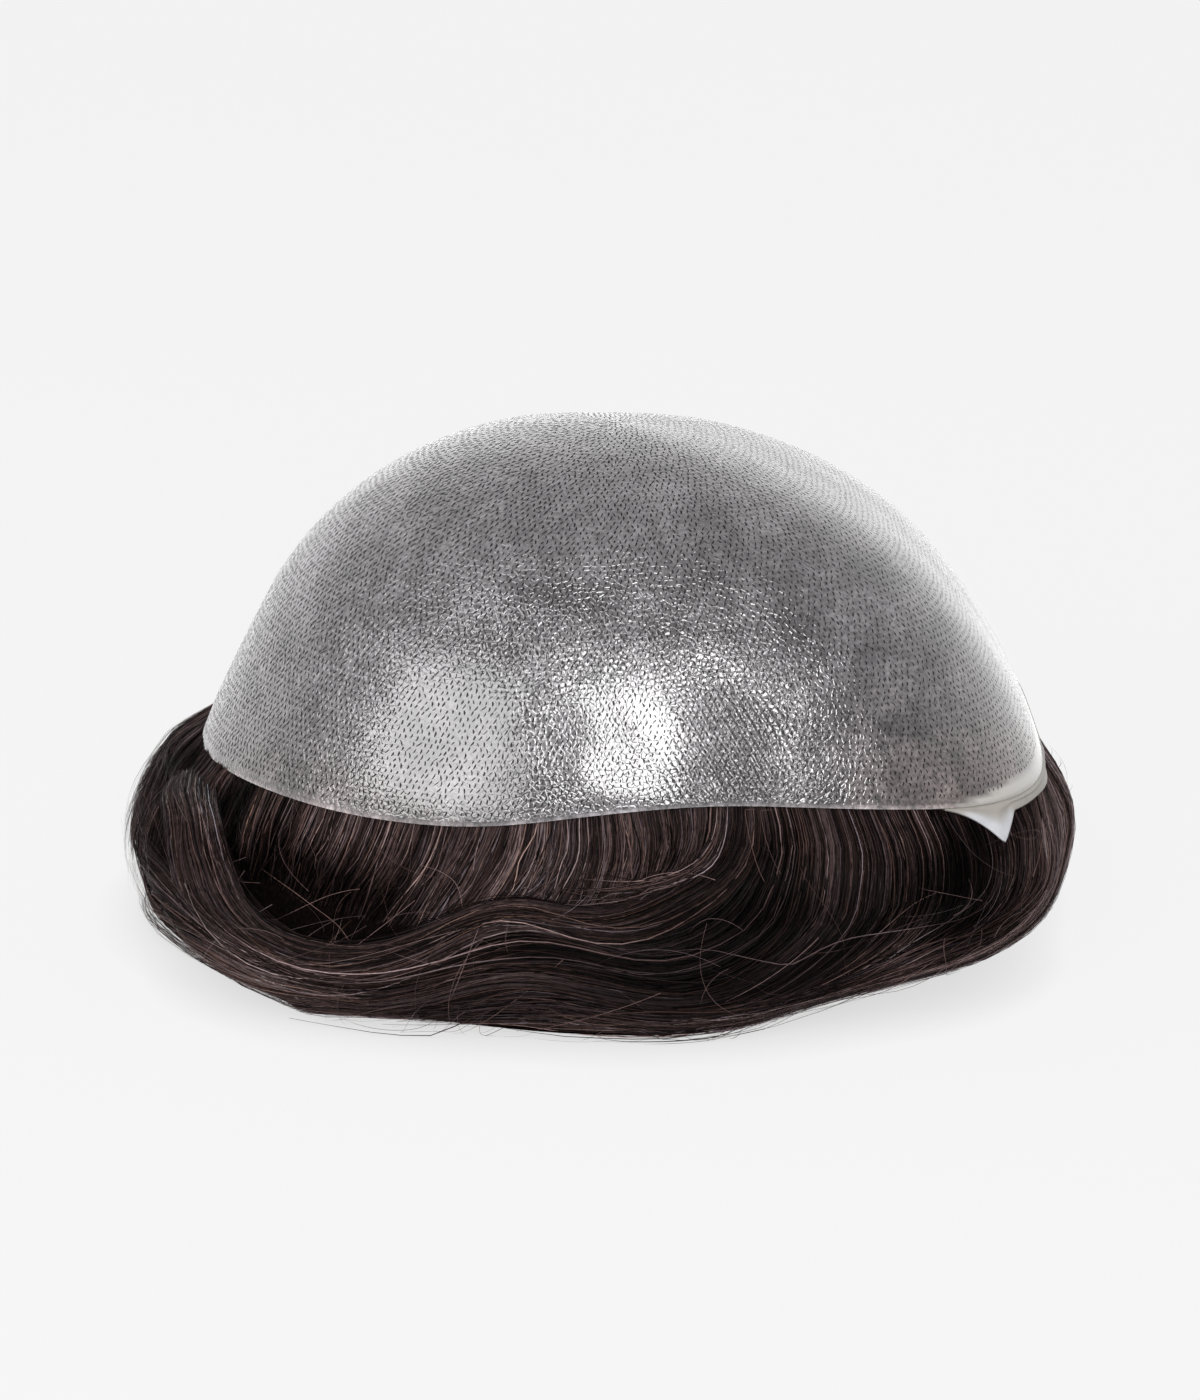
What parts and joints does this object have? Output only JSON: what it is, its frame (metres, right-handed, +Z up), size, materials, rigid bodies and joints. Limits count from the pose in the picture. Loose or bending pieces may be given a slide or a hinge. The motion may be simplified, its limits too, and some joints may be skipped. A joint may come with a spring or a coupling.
{
  "type": "toupee hairpiece",
  "caption": "Thin clear film hairpiece base turned inside out as a dome, lined with dark brown hair that falls from its rim and lies in swept locks.",
  "frame": {"origin": "on the table under the middle of the whole hairpiece", "axes": "+X to the front hairline, where the clear margin strip is; -Y to the side with the long wave; +Z up to the crown"},
  "size_m": [0.2124, 0.1512, 0.113],
  "materials": {
    "knotted_film": "glossy clear film over dark knotted hair, silver grey",
    "clear_film": "clear whitish film, crinkled",
    "hair": "dark brown hair with a soft sheen"
  },
  "bodies": {
    "root": {"skin_base": "knotted_film", "margin_strip": "clear_film", "hair_fall": "hair", "side_curl": "hair", "front_wave": "hair", "temple_lock": "hair", "back_sweep": "hair"}
  },
  "joints": []
}
